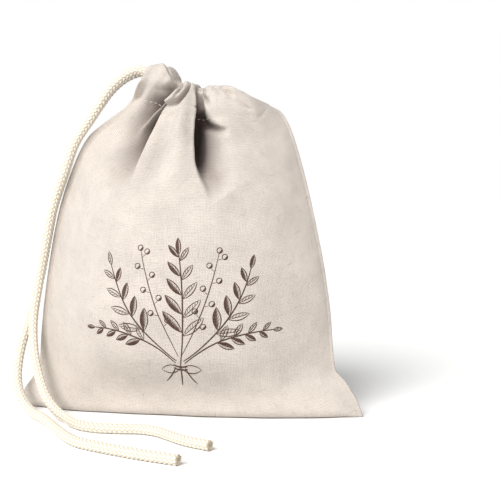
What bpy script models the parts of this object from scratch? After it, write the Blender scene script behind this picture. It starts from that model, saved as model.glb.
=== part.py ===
"""A linen drawstring bread bag, standing full and drawn shut, with both ends of its cord hanging on the left.

Two cloth panels meet in flat seams down the sides and under the base. The top of each is turned down inside as a
heading, and one braided cord runs through both headings. Metres, +Z up, the printed front faces -Y.
"""

import math
from collections import namedtuple

import bpy
import bmesh
import numpy as np

MM = 0.001

# Driving sizes, in millimetres
CLOTH = 1.0                  # thickness of a cloth solid
SEAM_GAP = 0.2               # half the gap between the two panels at their seams
SEAM_FLAT = 4.0              # width of the pressed seam edge that stands out at each side
FLAT_HEIGHT = 318.0          # bottom seam to top fold, on the flat cloth
BASE_DEPTH = 24.0            # bottom seam to the front edge of the base
BASE_ROUND = 8.0             # radius where the base turns up into the wall
MIDDLE_TOP = 268.0           # height of the top fold at the middle of a panel
GATHER_REACH = 85.0          # how far below the top the gathers spread back to the full width
CORD = 8.0                   # diameter of the cord
CORD_STEP = 15.0             # distance between the points of a cord's middle line
CHANNEL_Y = 10.6             # distance of the cord's line in a heading from the bag's middle plane
CHANNEL_DEPTH = 17.0         # how far below the top the heading stands clear of the cord
VALLEY_Y = 16.2              # how far a heading's outer leaf lies from the middle plane, between its pleats
STITCH_Y = 6.6               # how far the outer leaf lies from the middle plane at the heading's stitch line
LINING_Y = 4.8               # how far the heading's inner leaf lies from the middle plane
LINING_RIGHT = 34.0          # where the inner leaf ends at the right, so that the cord can pass round it
LINING_NARROWS = 10.0        # where the inner leaf starts to be narrower than the outer one
FOLD_RISE = 3.0              # how much the rounded top fold adds to a panel's height
OPEN_SEAM = 30.0             # length of the left seam left open at the heading, for the cord

CENTRE_X = 3.0               # moves the bag so that its base is centred on the origin
CENTRE_Y = 0.0

# Sections of the bag, a row for each height on the flat cloth. Left and right are as seen from the front.
Section = namedtuple("Section", "flat left_x left_z right_x right_z front back square pinch")
SECTIONS = (
    Section(0, -150, 0, 144, 0, 24, 24, 3.4, 0.90),
    Section(14, -146, 13, 139, 13, 25, 25, 3.2, 0.90),
    Section(30, -136, 28, 130, 28, 30, 29, 2.8, 0.95),
    Section(44, -131, 41, 121, 39, 36, 35, 2.5, 1.00),
    Section(60, -130, 56, 119, 54, 42, 40, 2.3, 0.95),
    Section(90, -127, 86, 117, 82, 50, 48, 2.1, 0.85),
    Section(130, -121, 126, 112, 119, 56, 54, 2.0, 0.80),
    Section(170, -113, 165, 105, 155, 56, 55, 2.0, 0.80),
    Section(210, -100, 203, 97, 190, 51, 50, 2.1, 0.80),
    Section(240, -86, 229, 90, 216, 44, 44, 2.2, 0.80),
    Section(262, -69, 243, 84, 234, 37, 37, 2.3, 0.80),
    Section(280, -56, 254, 79, 245, 30, 31, 2.4, 0.75),
    Section(298, -46, 270, 74, 252, 23, 24, 2.8, 0.70),
    Section(318, -37, 287, 66, 257, 17, 17, 4.0, 0.60),
)

# Where the cloth's width goes along the drawn-up top: position on the panel (-1 left seam, 1 right seam) and x
Gather = namedtuple("Gather", "across x")
GATHER = (
    Gather(-1.0, -37.0),
    Gather(-0.84, -21.0),
    Gather(-0.62, -13.5),
    Gather(-0.36, -6.5),
    Gather(0.0, 1.0),
    Gather(0.25, 8.2),
    Gather(0.42, 14.0),
    Gather(0.60, 24.0),
    Gather(0.80, 43.0),
    Gather(1.0, 66.0),
)

# The uneven top edge: position on the panel and height
Edge = namedtuple("Edge", "across z")
TOP_EDGE = (
    Edge(-1.0, 289.0),
    Edge(-0.84, 288.0),
    Edge(-0.66, 280.0),
    Edge(-0.52, 274.0),
    Edge(-0.30, 271.0),
    Edge(0.0, 273.0),
    Edge(0.25, 269.5),
    Edge(0.42, 267.0),
    Edge(0.60, 269.5),
    Edge(0.76, 269.0),
    Edge(0.86, 264.0),
    Edge(1.0, 257.0),
)

# Folds, outwards or (below zero) inwards. Each runs down from the top: its place across the panel at the top and at
# its lower end, its half-width there, its height at the top and a third of the way down, where it ends on the flat
# cloth, and how much steeper its left side is than its right.
Fold = namedtuple("Fold", "name top low wide_top wide_low high_top high_mid ends lean")
FRONT_FOLDS = (
    Fold("left pleat", -0.63, -0.60, 0.13, 0.14, 5.5, 5.0, 238, 0.0),
    Fold("pocket pleat", -0.36, -0.38, 0.11, 0.10, 5.5, 4.0, 276, 0.0),
    Fold("wide pleat", -0.06, -0.10, 0.19, 0.20, 6.5, 8.0, 196, -0.6),
    Fold("thin pleat", 0.25, 0.22, 0.09, 0.05, 5.0, 3.5, 268, 0.0),
    Fold("small pleat", 0.43, 0.42, 0.09, 0.12, 4.5, 4.0, 262, 0.0),
    Fold("right shoulder", 0.66, 0.56, 0.15, 0.26, 3.5, 4.5, 226, 0.0),
    Fold("right crease", 0.60, 0.68, 0.04, 0.04, -1.5, -2.0, 284, 0.0),
    Fold("upper left valley", -0.49, -0.62, 0.05, 0.13, -1.0, -13.0, 232, -0.5),
    Fold("long left valley", -0.36, -0.40, 0.05, 0.17, 0.0, -14.0, 176, -0.6),
    Fold("deep valley", 0.15, 0.15, 0.05, 0.20, 0.0, -24.0, 176, 0.9),
    Fold("hooked valley", 0.33, 0.32, 0.05, 0.08, 0.0, -9.0, 246, 0.5),
)
BACK_FOLDS = (
    Fold("left pleat", -0.66, -0.60, 0.13, 0.15, 5.5, 6.0, 226, 0.1),
    Fold("second pleat", -0.38, -0.40, 0.12, 0.12, 5.5, 4.5, 256, 0.0),
    Fold("wide pleat", -0.08, -0.04, 0.16, 0.20, 6.0, 7.0, 206, 0.4),
    Fold("fourth pleat", 0.22, 0.26, 0.12, 0.12, 5.5, 5.0, 250, 0.0),
    Fold("fifth pleat", 0.46, 0.48, 0.12, 0.16, 5.0, 5.5, 226, 0.0),
    Fold("right shoulder", 0.74, 0.68, 0.14, 0.20, 3.0, 3.5, 240, 0.0),
    Fold("left valley", -0.52, -0.50, 0.05, 0.15, 0.0, -10.0, 196, 0.5),
    Fold("middle valley", -0.22, -0.24, 0.05, 0.14, 0.0, -11.0, 186, -0.5),
    Fold("right valley", 0.34, 0.38, 0.05, 0.13, 0.0, -10.0, 204, 0.6),
)

# Grid lines of a panel: their spacing across it by position, and the rows up the flat cloth
Spacing = namedtuple("Spacing", "across width")
SPACING = (Spacing(-1.0, 0.06), Spacing(-0.75, 0.034), Spacing(0.50, 0.034), Spacing(1.0, 0.075))
FLAT_ROWS = (0, 8, 16, 20, 24, 29, 36, 47, 64, 90, 120, 150, 178, 202, 222, 238, 252, 264, 275, 285, 294, 302, 310, 318)
FOLD_TURNS = (60, 120, 180)  # degrees round the top fold
LINING_ROWS = (8, 16, 24)    # distances down the heading's inner leaf

# Routes of the cord, chosen by hand: the middle line from the heading's left mouth to the cut end on the table
FRONT_TAIL_ROUTE = (
    (-33, -10.6, 280.5), (-40, -10.5, 282.8), (-48, -9.8, 280.6), (-57, -8.6, 275), (-67, -7.2, 265.5),
    (-75, -6.2, 254.5), (-83, -5.6, 243), (-96, -5.2, 224), (-106, -5.2, 199), (-116, -5.2, 171), (-123, -5.3, 139),
    (-129.5, -6, 105), (-133, -10, 76), (-130, -18, 52), (-122, -29, 32), (-111, -41, 16), (-99, -50, 7),
    (-88, -59, 4.1), (-79, -71, 4.1), (-68, -80.5, 4.1), (-54, -85, 4.1), (-38, -85, 4.1), (-22, -84, 4.1),
    (-8, -89, 4.1), (6, -101, 4.1), (21, -114, 4.1), (40, -124, 4.1),
)
BACK_TAIL_ROUTE = (
    (-33, 10.6, 280.5), (-41, 10.7, 283.2), (-50, 10.2, 281.4), (-60, 9.2, 276), (-70.5, 7.8, 266),
    (-78.5, 6.8, 255), (-86, 5.8, 244), (-99, 5.2, 225), (-109, 5.2, 199), (-119, 5.2, 171), (-126, 5.0, 139),
    (-133, 4.0, 105), (-140, 0, 76), (-146, -8, 48), (-145, -18, 26), (-136, -30, 11), (-122, -44, 4.2),
    (-108, -60, 4.1), (-93, -81, 4.1), (-77, -105, 4.1), (-58, -128, 4.1), (-37, -140, 4.1), (-15, -150, 4.1),
    (5, -158, 4.1), (26, -165, 4.1),
)
HEADING_ROUTE = (
    (-31.4, -10.6, 279.4), (-23, -10.6, 274), (-14, -10.6, 266.5), (-4, -10.6, 262.5), (8, -10.6, 259.5),
    (20, -10.6, 256.5), (30, -10.4, 254.5), (39, -8.8, 252), (44.5, -5, 250.5), (46.5, 0, 250),
    (44.5, 5, 250.5), (39, 8.8, 252), (30, 10.4, 254.5), (20, 10.6, 256.5), (8, 10.6, 259.5), (-4, 10.6, 262.5),
    (-14, 10.6, 266.5), (-23, 10.6, 274), (-31.4, 10.6, 279.4),
)


def smoothstep(value):
    """0 below 0, 1 above 1 and an even rise between."""
    t = np.clip(value, 0.0, 1.0)
    return t * t * (3.0 - 2.0 * t)


def along(rows, where, column, at):
    """A column of a short table as a smooth curve without overshoot, read at some values of another column."""
    x = np.array([getattr(row, where) for row in rows], float)
    y = np.array([getattr(row, column) for row in rows], float)
    step = np.diff(x)
    rise = np.diff(y) / step
    slope = np.zeros(len(x))
    slope[0], slope[-1] = rise[0], rise[-1]
    turning = rise[:-1] * rise[1:] <= 0.0
    weighted = 3.0 * (step[:-1] + step[1:]) / (
        (2.0 * step[1:] + step[:-1]) / np.where(turning, 1.0, rise[:-1])
        + (step[1:] + 2.0 * step[:-1]) / np.where(turning, 1.0, rise[1:])
    )
    slope[1:-1] = np.where(turning, 0.0, weighted)
    at = np.clip(np.asarray(at, float), x[0], x[-1])
    i = np.clip(np.searchsorted(x, at, side="right") - 1, 0, len(x) - 2)
    t = (at - x[i]) / step[i]
    return (
        (2.0 * t**3 - 3.0 * t**2 + 1.0) * y[i]
        + (t**3 - 2.0 * t**2 + t) * step[i] * slope[i]
        + (3.0 * t**2 - 2.0 * t**3) * y[i + 1]
        + (t**3 - t**2) * step[i] * slope[i + 1]
    )


def section_at(flat, column):
    return float(along(SECTIONS, "flat", column, flat))


def body_across(across, flat, depth):
    """Position across the width, -1 to 1, that gives the cloth an even spacing along its curved section."""
    n = np.linspace(-1.0, 1.0, 241)
    half = (section_at(flat, "right_x") - section_at(flat, "left_x")) / 2.0
    y = depth * (1.0 - np.abs(n) ** section_at(flat, "square")) ** section_at(flat, "pinch")
    run = np.concatenate([[0.0], np.cumsum(np.hypot(np.diff(n * half), np.diff(y)))])
    return np.interp((across + 1.0) / 2.0, run / run[-1], n)


def fold_heights(folds, across, flat):
    """How far the folds stand out of the panel's plain form, and how far they carry the cloth sideways."""
    out = np.zeros_like(across)
    aside = np.zeros_like(across)
    for fold in folds:
        down = np.clip((FLAT_HEIGHT - flat) / (FLAT_HEIGHT - fold.ends), 0.0, 1.0)
        middle = fold.top + (fold.low - fold.top) * down
        wide = fold.wide_top + (fold.wide_low - fold.wide_top) * down
        high = fold.high_top + (fold.high_mid - fold.high_top) * smoothstep(down / 0.35)
        high = high * (1.0 - smoothstep((down - 0.3) / 0.7))
        offset = across - middle
        wide = wide * np.where(offset < 0.0, 1.0 - 0.5 * fold.lean, 1.0 + 0.5 * fold.lean)
        turn = np.clip(offset / wide, -1.0, 1.0)
        out += high * 0.5 * (1.0 + np.cos(math.pi * turn))
        tuck = 0.12 * fold.lean * smoothstep(down / 0.25) * (1.0 + np.cos(math.pi * turn))
        aside += abs(high) * (0.10 * np.sin(2.0 * math.pi * turn) - tuck)
    return out, aside


def base_and_wall(n, flat):
    """Follow the flat cloth from the bottom seam over the base and up the wall: distance out, climb and upright share."""
    base = BASE_DEPTH * (1.0 - np.abs(n) ** SECTIONS[0].square) ** SECTIONS[0].pinch
    bend = np.minimum(BASE_ROUND, base)
    start = base - bend
    turn = np.clip((flat - start) / np.maximum(bend, 1e-6), 0.0, math.pi / 2.0)
    out = np.minimum(flat, start) + bend * np.sin(turn)
    climb = bend * (1.0 - np.cos(turn)) + np.maximum(flat - start - bend * math.pi / 2.0, 0.0)
    upright = 1.0 - (base / BASE_DEPTH) * (1.0 - turn / (math.pi / 2.0))
    return base, out, climb, upright


def mixed_rate(n, seam_rate, middle_rate):
    """Height gained for each millimetre of climbing cloth: the middle's value, passing to the seams' own."""
    return middle_rate + (seam_rate - middle_rate) * np.abs(n) ** 3


def panel_row(side, folds, across, flat):
    """Points of a panel's outer face along one row of the flat cloth; side is -1 for the front and 1 for the back."""
    down = FLAT_HEIGHT - flat
    left, right = section_at(flat, "left_x"), section_at(flat, "right_x")
    middle, half = (left + right) / 2.0, (right - left) / 2.0
    depth = section_at(flat, "front" if side < 0 else "back")

    spread = body_across(across, flat, depth)
    mouth_left, mouth_right = GATHER[0].x, GATHER[-1].x
    gathered = (2.0 * along(GATHER, "across", "x", across) - mouth_left - mouth_right) / (mouth_right - mouth_left)
    drawn = smoothstep(1.0 - down / GATHER_REACH) ** 0.8
    n = np.clip(spread + (gathered - spread) * drawn, -1.0, 1.0)
    within = np.clip(n / (1.0 - SEAM_FLAT / half), -1.0, 1.0)
    near_seam = smoothstep((1.0 - np.abs(n)) / 0.3)
    near_seam = np.where(n < 0.0, np.maximum(near_seam, smoothstep((OPEN_SEAM - down) / 12.0)), near_seam)

    base, out, climb, upright = base_and_wall(within, flat)
    shape = (1.0 - np.abs(within) ** section_at(flat, "square")) ** section_at(flat, "pinch")
    y = out + (depth * shape - base) * smoothstep((flat - BASE_DEPTH) / 40.0) * (climb > 0.0)
    rise, aside = fold_heights(folds, across, flat)
    y = np.maximum(y + rise * near_seam, 0.45 * y)
    heading_y = VALLEY_Y + (STITCH_Y - VALLEY_Y) * smoothstep((down - CHANNEL_DEPTH) / 7.0)
    heading_y = heading_y * (1.0 - smoothstep((down - OPEN_SEAM) / 14.0)) * near_seam
    pleats = np.maximum(rise, 0.0) * near_seam * smoothstep((OPEN_SEAM - down) / 12.0)
    y = np.maximum(y, heading_y + pleats)
    y = np.maximum(y, 0.0) + SEAM_GAP + CLOTH * upright

    _, _, whole_climb, _ = base_and_wall(within, FLAT_HEIGHT)
    seam_z = np.where(n < 0.0, section_at(flat, "left_z"), section_at(flat, "right_z"))
    top_seam_z = np.where(n < 0.0, SECTIONS[-1].left_z, SECTIONS[-1].right_z)
    z = climb * mixed_rate(n, seam_z / max(flat, 1.0), MIDDLE_TOP / whole_climb)
    plain_top = whole_climb * mixed_rate(n, top_seam_z / FLAT_HEIGHT, MIDDLE_TOP / whole_climb)
    edge = along(TOP_EDGE, "across", "z", across) - FOLD_RISE - plain_top
    z = z + edge * smoothstep(1.0 - down / 60.0)

    x = middle + half * n + aside * smoothstep((1.0 - np.abs(n)) / 0.2)
    return np.stack([x, side * y, np.maximum(z, 0.0)], axis=-1)


def heading_rows(side, across, top):
    """The rest of a panel from its last outer row: over the top fold and down the heading's inner leaf."""
    x, y, z = top[:, 0], np.abs(top[:, 1]), top[:, 2]
    inner_x = along(GATHER, "across", "x", across)
    scale = (LINING_RIGHT - LINING_NARROWS) / (inner_x[-1] - LINING_NARROWS)
    inner_x = np.where(inner_x > LINING_NARROWS, LINING_NARROWS + (inner_x - LINING_NARROWS) * scale, inner_x)
    ripple = 0.5 * np.sin(inner_x * 0.9) - 0.5
    inner_y = SEAM_GAP + (LINING_Y + ripple - SEAM_GAP) * smoothstep((LINING_RIGHT - inner_x) / 9.0)
    rows = []
    for degrees in FOLD_TURNS:
        turn = math.radians(degrees)
        share = (1.0 - math.cos(turn)) / 2.0
        rows.append(np.stack([
            x + (inner_x - x) * share,
            side * (y + (inner_y - y) * share),
            z + FOLD_RISE * math.sin(turn),
        ], axis=-1))
    for depth in LINING_ROWS:
        rows.append(np.stack([inner_x, side * inner_y, z - depth], axis=-1))
    return rows


def grid_lines():
    """Positions of the grid's lines across a panel, closer together where the cloth is gathered."""
    at = np.linspace(-1.0, 1.0, 401)
    count = np.cumsum(1.0 / along(SPACING, "across", "width", at)) * (at[1] - at[0])
    count = count - count[0]
    return np.interp(np.linspace(0.0, count[-1], round(count[-1]) + 1), count, at)


def cloth_panel(name, side, folds, material):
    """One panel with its turned-down heading: a loft through its rows, given its thickness by Solidify."""
    across = grid_lines()
    rows = [panel_row(side, folds, across, float(flat)) for flat in FLAT_ROWS]
    rows += heading_rows(side, across, rows[-1])
    mesh = bpy.data.meshes.new(name)
    build = bmesh.new()
    lines = [[build.verts.new(point * MM) for point in row] for row in rows]
    for lower, upper in zip(lines, lines[1:]):
        for i in range(len(lower) - 1):
            face = (lower[i], lower[i + 1], upper[i + 1], upper[i])
            build.faces.new(face if side < 0 else face[::-1])
    build.to_mesh(mesh)
    build.free()
    panel = bpy.data.objects.new(name, mesh)
    bpy.context.collection.objects.link(panel)
    mesh.materials.append(material)
    mesh.shade_smooth()
    wall = panel.modifiers.new("thickness", "SOLIDIFY")
    wall.thickness = CLOTH * MM
    wall.offset = -1.0
    return panel


def smooth_route(route, step):
    """Points a fixed distance apart on one smooth curve through a route's own points."""
    points = np.array(route, float)
    run = np.concatenate([[0.0], np.cumsum(np.linalg.norm(np.diff(points, axis=0), axis=1) ** 0.5)])
    slope = np.gradient(points, run, axis=0)
    fine = []
    for i in range(len(points) - 1):
        span = run[i + 1] - run[i]
        for t in np.linspace(0.0, 1.0, 24, endpoint=i == len(points) - 2):
            fine.append(
                (2.0 * t**3 - 3.0 * t**2 + 1.0) * points[i] + (t**3 - 2.0 * t**2 + t) * span * slope[i]
                + (3.0 * t**2 - 2.0 * t**3) * points[i + 1] + (t**3 - t**2) * span * slope[i + 1]
            )
    fine = np.array(fine)
    length = np.concatenate([[0.0], np.cumsum(np.linalg.norm(np.diff(fine, axis=0), axis=1))])
    at = np.linspace(0.0, length[-1], round(length[-1] / step) + 1)
    return np.stack([np.interp(at, length, fine[:, axis]) for axis in range(3)], axis=-1)


def cord_tube(name, route, material, step=CORD_STEP):
    """A round cord along a route."""
    curve = bpy.data.curves.new(name, "CURVE")
    curve.dimensions = "3D"
    curve.bevel_depth = CORD / 2.0 * MM
    curve.bevel_resolution = 3
    curve.use_fill_caps = True
    points = smooth_route(route, step) * MM
    spline = curve.splines.new("POLY")
    spline.points.add(len(points) - 1)
    for point, place in zip(spline.points, points):
        point.co = (*place, 1.0)
    cord = bpy.data.objects.new(name, curve)
    bpy.context.collection.objects.link(cord)
    curve.materials.append(material)
    return cord


def cloth_material(name, colour, roughness):
    """A plain material; its colour is given as display values and turned linear."""
    material = bpy.data.materials.new(name)
    material.use_nodes = True
    shader = material.node_tree.nodes["Principled BSDF"]
    linear = [((part + 0.055) / 1.055) ** 2.4 for part in colour]
    shader.inputs["Base Color"].default_value = (*linear, 1.0)
    shader.inputs["Roughness"].default_value = roughness
    shader.inputs["Metallic"].default_value = 0.0
    return material


def main():
    for old in list(bpy.data.objects):
        bpy.data.objects.remove(old)
    linen = cloth_material("natural_linen", (0.87, 0.82, 0.75), 0.95)
    cotton = cloth_material("cotton_cord", (0.95, 0.92, 0.85), 0.90)
    pieces = [
        cloth_panel("front_panel", -1, FRONT_FOLDS, linen),
        cloth_panel("back_panel", 1, BACK_FOLDS, linen),
        cord_tube("cord_in_heading", HEADING_ROUTE, cotton, step=8.0),
        cord_tube("cord_front_tail", FRONT_TAIL_ROUTE, cotton),
        cord_tube("cord_back_tail", BACK_TAIL_ROUTE, cotton),
    ]
    for piece in pieces:
        piece.location.x = CENTRE_X * MM
        piece.location.y = CENTRE_Y * MM


main()
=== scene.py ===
# %% [markdown]
# A linen drawstring bread bag
# The real bag is two panels of natural linen, sewn together down the sides and under the base. The top of
# each panel is turned in as a heading, and one braided cotton cord runs through both headings and hangs out
# at the left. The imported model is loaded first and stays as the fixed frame. Each piece below is made in
# the same place, in metres, and stands for its plain solid.

# %% Load the frame
import math
from collections import namedtuple

import bmesh
import bpy
import numpy as np
from mathutils import Matrix, Vector


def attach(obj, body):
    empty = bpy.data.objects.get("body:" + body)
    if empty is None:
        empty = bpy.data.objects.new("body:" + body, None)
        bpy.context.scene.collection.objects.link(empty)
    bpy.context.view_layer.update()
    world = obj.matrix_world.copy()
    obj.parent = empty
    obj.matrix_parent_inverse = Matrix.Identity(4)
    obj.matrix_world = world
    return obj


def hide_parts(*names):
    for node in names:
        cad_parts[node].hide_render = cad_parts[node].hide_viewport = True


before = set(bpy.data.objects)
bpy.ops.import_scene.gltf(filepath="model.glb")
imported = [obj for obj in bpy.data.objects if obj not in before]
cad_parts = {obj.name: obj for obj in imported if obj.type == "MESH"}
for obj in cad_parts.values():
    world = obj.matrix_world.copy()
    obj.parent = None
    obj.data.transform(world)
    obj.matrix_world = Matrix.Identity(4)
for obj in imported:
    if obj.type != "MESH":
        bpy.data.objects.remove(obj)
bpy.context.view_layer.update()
bpy.ops.object.select_all(action="DESELECT")
MM = 0.001
print("nodes:", sorted(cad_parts))

# %% [markdown]
# Camera
# The photograph was taken from a little right of the front and from just above the bag's middle. A longer
# lens gives the calm perspective of a product picture. The camera is added with an operator and turned to
# look along a direction, because a direction is easier to match to a picture than three angles.

# %% Add the camera
AZIMUTH = math.radians(12.0)     # round to the right of the front
YAW = math.atan(60.0 / 1062.0)   # the bag stands left of the middle of the picture
PITCH = -0.0735                  # looking down a little
DISTANCE = 0.88                  # from the bag, in metres
forward = Vector((
    (-math.sin(AZIMUTH) * math.cos(YAW) + math.cos(AZIMUTH) * math.sin(YAW)) * math.cos(PITCH),
    (math.cos(AZIMUTH) * math.cos(YAW) + math.sin(AZIMUTH) * math.sin(YAW)) * math.cos(PITCH),
    math.sin(PITCH),
))
bpy.ops.object.camera_add(
    location=(DISTANCE * math.sin(AZIMUTH) + 0.003, -DISTANCE * math.cos(AZIMUTH), 0.200),
    rotation=forward.to_track_quat("-Z", "Y").to_euler(),
)
camera = bpy.context.object
camera.name = "photo_camera"
camera.data.lens = 36.0 * 1062.0 / 500.0
camera.data.clip_start = 0.01
bpy.context.scene.camera = camera
print("camera lens:", round(camera.data.lens, 1), "mm")

# %% [markdown]
# Routes of the cord
# One cord about 8 mm thick runs through both headings. Its two ends leave the left end of the headings,
# fall beside the bag and lie on the table in loose curves. A cord keeps its length and bends evenly, so its
# middle line is one smooth curve through a few chosen points, in millimetres, and every ring of the cord is
# set square to that line.

# %% Routes and the smooth curve through them
CENTRE_X = 3.0                   # the base is centred on the origin
CORD = 8.0
FRONT_TAIL_ROUTE = (
    (-33, -10.6, 280.5), (-40, -10.5, 282.8), (-48, -9.8, 280.6), (-57, -8.6, 275), (-67, -7.2, 265.5),
    (-75, -6.2, 254.5), (-83, -5.6, 243), (-96, -5.2, 224), (-106, -5.2, 199), (-116, -5.2, 171),
    (-123, -5.3, 139),
    (-129.5, -6, 105), (-133, -10, 76), (-130, -18, 52), (-122, -29, 32), (-111, -41, 16), (-99, -50, 7),
    (-88, -59, 4.1), (-79, -71, 4.1), (-68, -80.5, 4.1), (-54, -85, 4.1), (-38, -85, 4.1), (-22, -84, 4.1),
    (-8, -89, 4.1), (6, -101, 4.1), (21, -114, 4.1), (40, -124, 4.1),
)
BACK_TAIL_ROUTE = (
    (-33, 10.6, 280.5), (-41, 10.7, 283.2), (-50, 10.2, 281.4), (-60, 9.2, 276), (-70.5, 7.8, 266),
    (-78.5, 6.8, 255), (-86, 5.8, 244), (-99, 5.2, 225), (-109, 5.2, 199), (-119, 5.2, 171), (-126, 5.0, 139),
    (-133, 4.0, 105), (-140, 0, 76), (-146, -8, 48), (-145, -18, 26), (-136, -30, 11), (-122, -44, 4.2),
    (-108, -60, 4.1), (-93, -81, 4.1), (-77, -105, 4.1), (-58, -128, 4.1), (-37, -140, 4.1), (-15, -150, 4.1),
    (5, -158, 4.1), (26, -165, 4.1),
)
HEADING_ROUTE = (
    (-31.4, -10.6, 279.4), (-23, -10.6, 274), (-14, -10.6, 266.5), (-4, -10.6, 262.5), (8, -10.6, 259.5),
    (20, -10.6, 256.5), (30, -10.4, 254.5), (39, -8.8, 252), (44.5, -5, 250.5), (46.5, 0, 250),
    (44.5, 5, 250.5), (39, 8.8, 252), (30, 10.4, 254.5), (20, 10.6, 256.5), (8, 10.6, 259.5),
    (-4, 10.6, 262.5),
    (-14, 10.6, 266.5), (-23, 10.6, 274), (-31.4, 10.6, 279.4),
)


def between_ends(t, start, end, slope_start, slope_end):
    """A smooth curve from start to end that leaves and arrives at the given slopes, for t from 0 to 1."""
    return (
        (2.0 * t**3 - 3.0 * t**2 + 1.0) * start + (t**3 - 2.0 * t**2 + t) * slope_start
        + (3.0 * t**2 - 2.0 * t**3) * end + (t**3 - t**2) * slope_end
    )


def smooth_route(route, step):
    """Points a fixed distance apart on one smooth curve through a route's own points, in the frame's place."""
    points = np.array(route, float) + (CENTRE_X, 0.0, 0.0)
    run = np.concatenate([[0.0], np.cumsum(np.linalg.norm(np.diff(points, axis=0), axis=1) ** 0.5)])
    slope = np.gradient(points, run, axis=0)
    fine = []
    for i in range(len(points) - 1):
        span = run[i + 1] - run[i]
        for t in np.linspace(0.0, 1.0, 24, endpoint=i == len(points) - 2):
            fine.append(between_ends(t, points[i], points[i + 1], span * slope[i], span * slope[i + 1]))
    fine = np.array(fine)
    length = np.concatenate([[0.0], np.cumsum(np.linalg.norm(np.diff(fine, axis=0), axis=1))])
    at = np.linspace(0.0, length[-1], round(length[-1] / step) + 1)
    return np.stack([np.interp(at, length, fine[:, axis]) for axis in range(3)], axis=-1)


def route_length(line):
    """Length of a line of points, in metres."""
    return float(np.linalg.norm(np.diff(line, axis=0), axis=1).sum()) * MM


for name, route in (("front tail", FRONT_TAIL_ROUTE), ("back tail", BACK_TAIL_ROUTE),
    ("heading", HEADING_ROUTE)):
    print(name, "length:", round(route_length(smooth_route(route, 2.0)), 3), "m")

# %% [markdown]
# The braid
# The cord is a round braid: eight strands wind each way and pass over and under each other two by two,
# which gives the slanting bumps that show along it. Modelling sixteen strands would cost a great many
# faces, so the tube's radius follows the braid instead: at each place the strand that lies on top sets the
# height. The same number goes in an attribute, so that the material can shade the grooves.

# %% Height of the braid
STRANDS = 8                      # strands winding each way
BRAID_PITCH = 31.0               # one turn of a strand, along the cord
BRAID_LOW, BRAID_RISE = 3.25, 0.80


def braid_height(turn, run):
    """Height of the upper strand, 0 to 1, at some turns round the cord and distances along it."""
    one_way = STRANDS * (turn + run / BRAID_PITCH)
    other_way = STRANDS * (turn - run / BRAID_PITCH)
    i, j = np.floor(one_way), np.floor(other_way)
    beside_one, beside_other = one_way - i, other_way - j
    order = (i + j) % 4.0
    first_on_top = order < 2.0
    beside = np.where(first_on_top, beside_one, beside_other)
    forth = np.where(first_on_top, order + beside_other, order - 2.0 + beside_one) / 2.0
    return np.sqrt(np.maximum(1.0 - (2.0 * beside - 1.0) ** 2, 0.0)) * np.sin(math.pi * np.clip(forth, 0,
        1)) ** 0.6


print("a braid bump is about", round(BRAID_PITCH / STRANDS, 1), "mm long")

# %% Build a braided cord
def square_frames(line):
    """Two directions square to the line at each of its points, carried along it without twist."""
    ahead = np.gradient(line, axis=0)
    ahead /= np.linalg.norm(ahead, axis=1)[:, None]
    side = np.cross(ahead[0], (0.0, 1.0, 0.0))
    sides = []
    for direction in ahead:
        side = side - direction * float(side @ direction)
        side /= np.linalg.norm(side)
        sides.append(side.copy())
    sides = np.array(sides)
    return sides, np.cross(ahead, sides)


def finished_mesh(name, build):
    """A smooth object in the scene from a mesh that has been built."""
    mesh = bpy.data.meshes.new(name)
    build.to_mesh(mesh)
    build.free()
    mesh.shade_smooth()
    made = bpy.data.objects.new(name, mesh)
    bpy.context.scene.collection.objects.link(made)
    return made


def braided_cord(name, route, step, around, cut_end):
    """A closed braided tube along a route. A cut end spreads a little, as loose yarns do."""
    line = smooth_route(route, step)
    run = np.arange(len(line)) * step
    sides, ups = square_frames(line)
    turn = np.arange(around) / around
    height = braid_height(turn[None, :], run[:, None])
    radius = BRAID_LOW + BRAID_RISE * height
    if cut_end:
        flare = np.clip(1.0 - (run[-1] - run) / 5.0, 0.0, 1.0)[:, None]
        radius = radius * (1.0 + 0.04 * flare)
    angle = 2.0 * math.pi * turn
    spokes = np.cos(angle)[None, :, None] * sides[:, None, :] + np.sin(angle)[None, :, None] * ups[:, None, :]
    rings = line[:, None, :] + radius[:, :, None] * spokes
    rings[:, :, 2] = np.maximum(rings[:, :, 2], 0.05)
    build = bmesh.new()
    shade = build.verts.layers.float.new("strand")
    uv = build.loops.layers.uv.new("cord")
    lines = []
    for ring, row in zip(rings, height):
        lines.append([build.verts.new(point * MM) for point in ring])
        for vertex, value in zip(lines[-1], row):
            vertex[shade] = value
    for k in range(len(lines) - 1):
        for j in range(around):
            after = (j + 1) % around
            face = build.faces.new((lines[k][j], lines[k + 1][j], lines[k + 1][after], lines[k][after]))
            for loop, (a, b) in zip(face.loops, ((j, k), (j, k + 1), (j + 1, k + 1), (j + 1, k))):
                loop[uv].uv = (a / around * CORD * math.pi * MM, b * step * MM)
    for ring, at in ((lines[0][::-1], line[0]), (lines[-1], line[-1])):
        middle = build.verts.new(at * MM)
        for j in range(around):
            build.faces.new((ring[j], middle, ring[(j + 1) % around]))
    bmesh.ops.recalc_face_normals(build, faces=build.faces)
    cord = finished_mesh(name, build)
    print(name, "faces:", len(cord.data.polygons), "length:", round(route_length(line), 3), "m")
    return cord


front_tail = braided_cord("braided_front_tail", FRONT_TAIL_ROUTE, 0.55, 40, cut_end=True)
back_tail = braided_cord("braided_back_tail", BACK_TAIL_ROUTE, 0.55, 40, cut_end=True)
heading_cord = braided_cord("braided_heading_cord", HEADING_ROUTE, 0.7, 32, cut_end=False)

# %% [markdown]
# Cut ends of the cord
# A cut braid opens a little and shows the loose fibres of its yarns. One fibre is a thin cone, cut into
# short lengths and bent with an operator. Copies of it stand in a tuft on each cut end, turned and tilted
# by a seeded chance.

# %% Fray a cut end
FIBRES, FIBRE_LENGTH = 42, 4.2


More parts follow.
